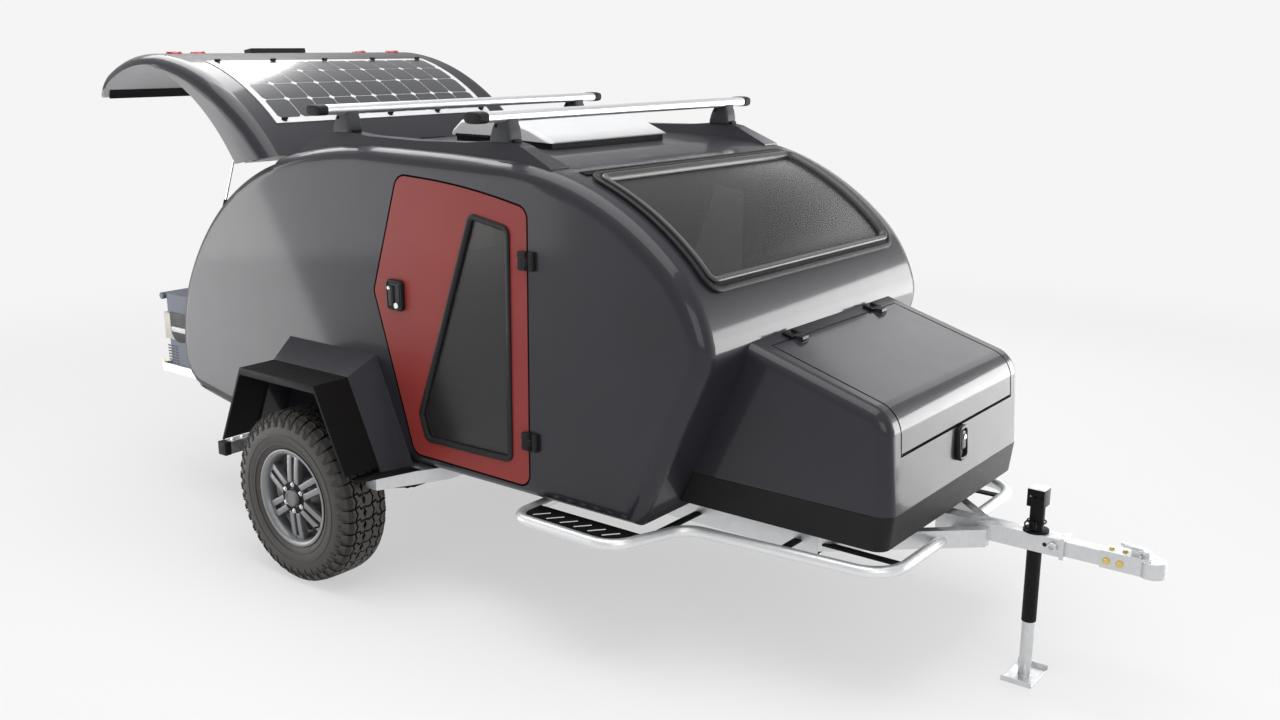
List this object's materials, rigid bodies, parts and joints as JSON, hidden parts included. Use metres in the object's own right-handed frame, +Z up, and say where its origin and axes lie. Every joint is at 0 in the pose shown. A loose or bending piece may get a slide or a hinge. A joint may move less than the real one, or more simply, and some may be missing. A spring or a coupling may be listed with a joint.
{
  "type": "teardrop camping trailer",
  "caption": "Small teardrop camping trailer with side doors, a curved nose window, a nose locker and a rear galley under a raised hatch, standing on its drawbar jack",
  "frame": {"origin": "On the ground, under the middle of the whole trailer's length and width.", "axes": "+X forward to the coupling, +Y to the left, +Z up."},
  "size_m": [4.839, 2.21, 2.1721],
  "materials": {
    "body_shell": "satin charcoal paint on a moulded shell",
    "door_paint": "satin brick red paint",
    "hatch_paint": "satin charcoal paint, light grey inside",
    "window": "dark tinted",
    "window_rubber": "matt black",
    "black_trim": "textured black",
    "black_steel": "black powder coat",
    "galvanised": "dull zinc",
    "pale_bar": "anodised",
    "alloy": "grey cast alloy",
    "cast": "plain",
    "tyre_rubber": "all-terrain",
    "panel_cells": "dark cells on a white sheet",
    "lamp_red": "clear red lens",
    "white_plastic": "white",
    "grey_plastic": "blue grey",
    "wood_board": "birch ply",
    "cushion": "woven cover",
    "rod_chrome": "polished"
  },
  "bodies": {
    "trailer": {"side_wall_right": "body_shell", "side_wall_left": "body_shell", "rim_seals": "window_rubber", "roof_panel": "body_shell", "nose_panel": "body_shell", "floor_panel": "black_trim", "nose_window_frame": "window_rubber", "nose_window_glass": "window", "bulkhead": "wood_board", "roof_hinge_leaf": "black_steel", "door_hinge_leaves": "black_steel", "locker_tub": "body_shell", "locker_skirt": "black_trim", "suspension_arms": "black_steel", "fenders": "black_steel", "chassis_frame": "galvanised", "tongue_frame": "galvanised", "tongue_extension": "galvanised", "coupler": "galvanised", "jack_mast": "black_steel", "jack_leg": "galvanised", "bumper_tube": "pale_bar", "step_plates": "black_steel", "bumper_ties": "black_steel", "roof_pods": "body_shell", "crossbar_front": "pale_bar", "crossbar_rear": "pale_bar", "roof_vent_lid": "white_plastic", "roof_vent_base": "black_trim", "mattress": "cushion", "cabin_shelf": "wood_board", "galley_unit": "wood_board"},
    "right_wheel": {"tyre_right": "tyre_rubber", "wheel_right": "alloy", "hub_right": "cast"},
    "left_wheel": {"tyre_left": "tyre_rubber", "wheel_left": "alloy", "hub_left": "cast"},
    "right_door": {"door_right": "door_paint", "door_glass_right": "window"},
    "left_door": {"door_left": "door_paint", "door_glass_left": "window"},
    "rear_hatch": {"hatch_shell": "hatch_paint", "hatch_foot_seal": "window_rubber", "solar_panel": "panel_cells", "marker_lamps": "lamp_red", "plate_bracket": "black_trim", "hatch_hinge_leaf": "black_steel"},
    "right_strut_tube": {"strut_cylinder_right": "black_steel"},
    "left_strut_tube": {"strut_cylinder_left": "black_steel"},
    "right_strut_shaft": {"strut_rod_right": "rod_chrome"},
    "left_strut_shaft": {"strut_rod_left": "rod_chrome"},
    "box_lid": {"locker_lid": "body_shell"},
    "fridge_slide": {"fridge": "grey_plastic", "fridge_tray": "pale_bar"}
  },
  "joints": [
    {"name": "right_wheel_spin", "type": "hinge", "parent": "trailer", "child": "right_wheel", "pos_m": [-0.73647, -0.975, 0.367], "axis": [0, 1, 0], "continuous": true},
    {"name": "left_wheel_spin", "type": "hinge", "parent": "trailer", "child": "left_wheel", "pos_m": [-0.73647, 0.975, 0.367], "axis": [0, 1, 0], "continuous": true},
    {"name": "right_door_swing", "type": "hinge", "parent": "trailer", "child": "right_door", "pos_m": [0.36553, -0.812, 1.1], "axis": [0, 0, 1], "range_deg": [0, 100]},
    {"name": "left_door_swing", "type": "hinge", "parent": "trailer", "child": "left_door", "pos_m": [0.36553, 0.812, 1.1], "axis": [0, 0, -1], "range_deg": [0, 100]},
    {"name": "hatch_swing", "type": "hinge", "parent": "trailer", "child": "rear_hatch", "pos_m": [-1.10147, 0, 1.7216], "axis": [0, 1, 0], "range_deg": [-66, 0]},
    {"name": "right_strut_pivot", "type": "hinge", "parent": "trailer", "child": "right_strut_tube", "pos_m": [-1.64647, -0.72, 1.31], "axis": [0, -1, 0], "range_deg": [-45.65, 0]},
    {"name": "right_strut_slide", "type": "slide", "parent": "right_strut_tube", "child": "right_strut_shaft", "axis": [0.4142, 0, 0.9102], "range_m": [-0.13028, 0]},
    {"name": "left_strut_pivot", "type": "hinge", "parent": "trailer", "child": "left_strut_tube", "pos_m": [-1.64647, 0.72, 1.31], "axis": [0, -1, 0], "range_deg": [-45.65, 0]},
    {"name": "left_strut_slide", "type": "slide", "parent": "left_strut_tube", "child": "left_strut_shaft", "axis": [0.4142, 0, 0.9102], "range_m": [-0.13028, 0]},
    {"name": "box_lid_swing", "type": "hinge", "parent": "trailer", "child": "box_lid", "pos_m": [1.18553, 0, 1.18908], "axis": [0, -1, 0], "range_deg": [0, 80]},
    {"name": "fridge_run", "type": "slide", "parent": "trailer", "child": "fridge_slide", "axis": [-1, 0, 0], "range_m": [-0.38, 0]}
  ],
  "couplings": [
    {"joint": "right_strut_pivot", "follows": "hatch_swing", "ratio": 0.69167},
    {"joint": "right_strut_slide", "follows": "hatch_swing", "m_per_rad": 0.11309},
    {"joint": "left_strut_pivot", "follows": "hatch_swing", "ratio": 0.69167},
    {"joint": "left_strut_slide", "follows": "hatch_swing", "m_per_rad": 0.11309},
    {"joint": "fridge_run", "follows": "hatch_swing", "m_per_rad": 0.32988}
  ]
}
